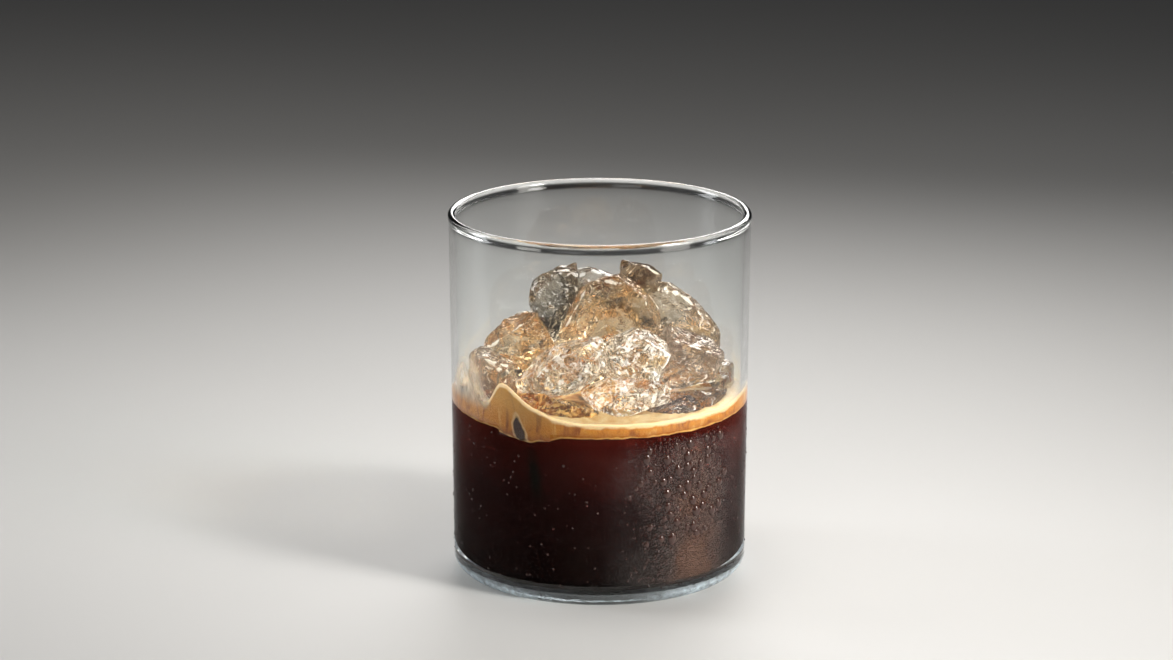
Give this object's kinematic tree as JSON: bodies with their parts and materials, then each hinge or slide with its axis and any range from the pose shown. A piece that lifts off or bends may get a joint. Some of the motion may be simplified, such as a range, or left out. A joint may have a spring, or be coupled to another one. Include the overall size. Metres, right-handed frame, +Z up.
{
  "type": "iced espresso",
  "caption": "Straight-sided clear glass half full of dark espresso with a tan foam layer and a heap of broken ice that rises above it.",
  "frame": {"origin": "centre of the flat foot that the glass stands on", "axes": "+Z up along the glass's axis, -Y towards the front that the picture shows"},
  "size_m": [0.0824, 0.0824, 0.1],
  "materials": {
    "glass": "clear, polished",
    "espresso": "clear dark liquid, glossy",
    "crema": "soft fine foam",
    "ice": "wet, partly clear"
  },
  "bodies": {
    "root": {"glass": "glass", "espresso": "espresso", "crema": "crema", "ice_wedge": "ice", "ice_front_left": "ice", "ice_front_right": "ice", "ice_front_low": "ice", "ice_slab_right": "ice", "ice_crown_right": "ice", "ice_crown_left": "ice", "ice_peak_right": "ice", "ice_peak_back": "ice", "ice_left": "ice", "ice_wall_left": "ice", "ice_right_low": "ice", "ice_wall_right": "ice", "ice_sunk_front": "ice", "ice_core": "ice", "ice_back_left": "ice", "ice_back": "ice", "ice_back_right": "ice"}
  },
  "joints": []
}
